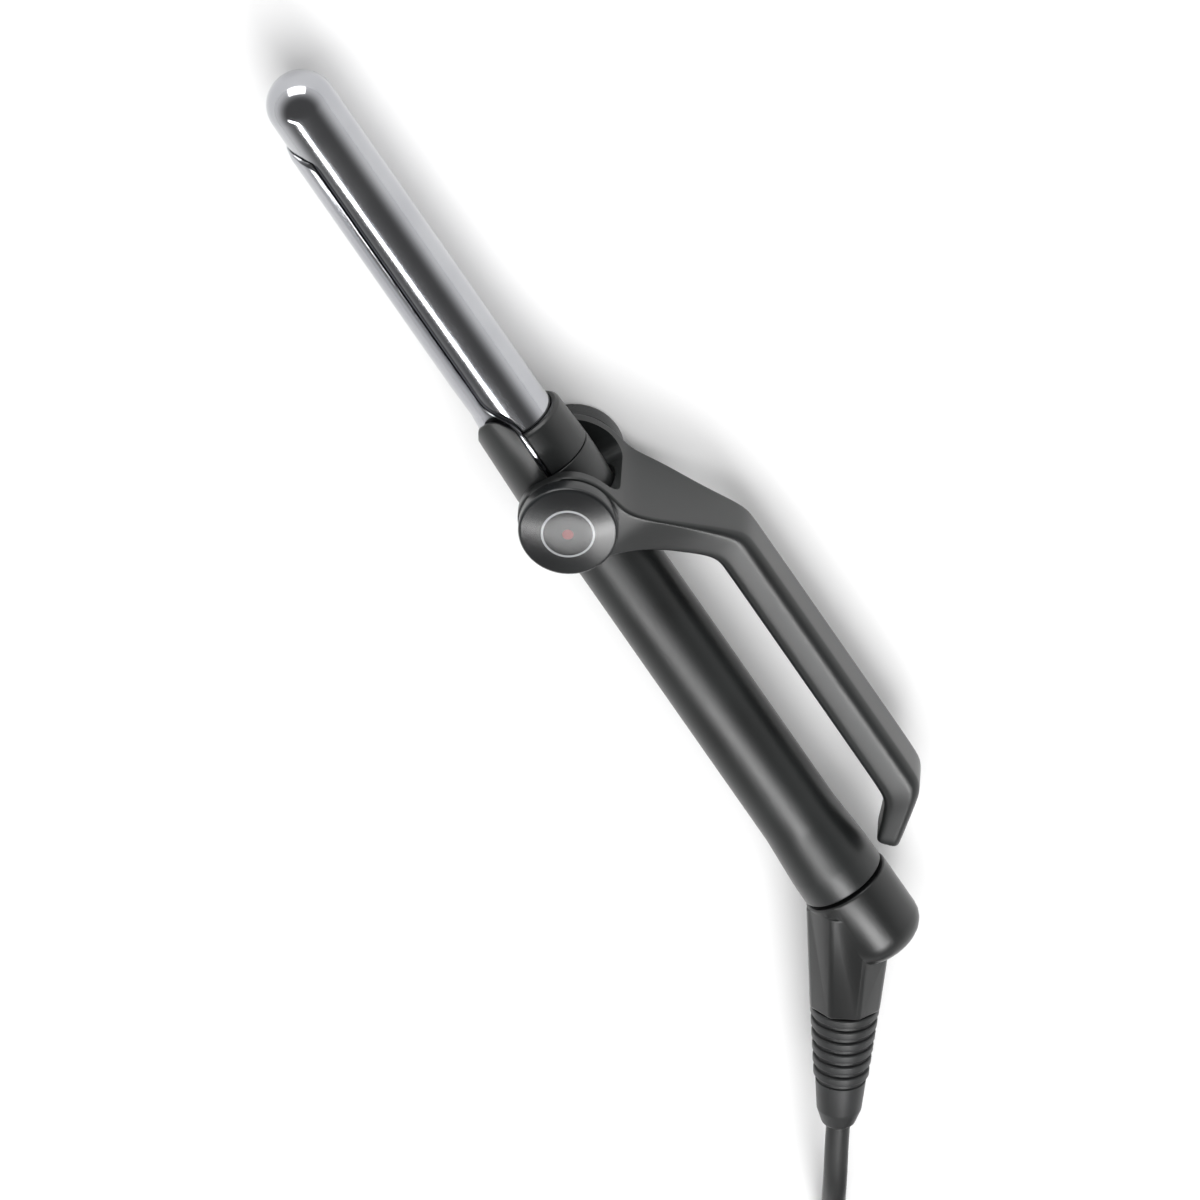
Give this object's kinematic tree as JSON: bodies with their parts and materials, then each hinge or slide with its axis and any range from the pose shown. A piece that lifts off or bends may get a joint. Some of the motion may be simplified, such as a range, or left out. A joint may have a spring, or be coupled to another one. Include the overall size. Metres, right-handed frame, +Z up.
{
  "type": "curling iron",
  "caption": "Scissor-lever curling iron: chrome barrel and clip, black handle with a finger lever, swivel cord outlet and mains cord with plug.",
  "frame": {"origin": "On the lever's pivot axis, in the flat face of the lower pivot cap that the iron lies on", "axes": "+X runs along the iron from the pivot towards the cord outlet, +Y points to the finger lever, +Z is up along the pivot axis"},
  "size_m": [0.5059, 0.1413, 0.0466],
  "materials": {
    "chrome": "polished dark chrome plate",
    "steel": "turned steel",
    "brass": "turned brass",
    "aluminium": "extruded, unpolished",
    "black_plastic": "satin black moulding",
    "ceramic": "unglazed white heat-proof ceramic",
    "live_silicone": "red silicone insulation",
    "neutral_silicone": "blue silicone insulation",
    "cord_rubber": "matt black flexible jacket"
  },
  "bodies": {
    "handle": {"barrel_tube": "chrome", "heater_plate": "ceramic", "heat_spreader_upper": "aluminium", "heat_spreader_lower": "aluminium", "thermal_fuse": "steel", "barrel_bush": "ceramic", "heat_guard": "black_plastic", "neck_sleeve": "black_plastic", "handle_tube": "black_plastic", "handle_screw": "steel", "brush_holder": "ceramic", "lead_live": "live_silicone", "lead_neutral": "neutral_silicone", "brush_live": "brass", "brush_neutral": "brass", "swivel_bearing": "black_plastic", "pivot_insert_upper": "brass", "pivot_insert_lower": "brass", "pivot_screw_upper": "steel", "pivot_screw_lower": "steel", "power_cord": "cord_rubber", "cord_tail": "cord_rubber", "cord_coil": "cord_rubber", "coil_tie": "cord_rubber", "plug_body": "black_plastic", "plug_pin_left": "steel", "plug_pin_right": "steel"},
    "lever": {"lever_body": "black_plastic", "clamp_blade": "chrome", "blade_cover": "black_plastic", "blade_rivet_front": "steel", "blade_rivet_rear": "steel", "pivot_bush_upper": "brass", "pivot_bush_lower": "brass", "pivot_washer_upper": "steel", "pivot_washer_lower": "steel", "pivot_cap_upper": "black_plastic", "pivot_cap_lower": "black_plastic"},
    "cord_swivel": {"swivel_housing": "black_plastic", "swivel_spindle": "steel", "contact_ring_live": "brass", "contact_ring_neutral": "brass", "spindle_clip": "steel", "strain_relief": "cord_rubber", "cord_clamp": "steel"}
  },
  "joints": [
    {"name": "lever_pivot", "type": "hinge", "parent": "handle", "child": "lever", "pos_m": [0, 0, 0.0233], "axis": [0, 0, 1], "range_deg": [0, 22]},
    {"name": "outlet_swivel", "type": "hinge", "parent": "handle", "child": "cord_swivel", "pos_m": [0.145, 0, 0.0233], "axis": [-1, 0, 0], "continuous": true}
  ]
}
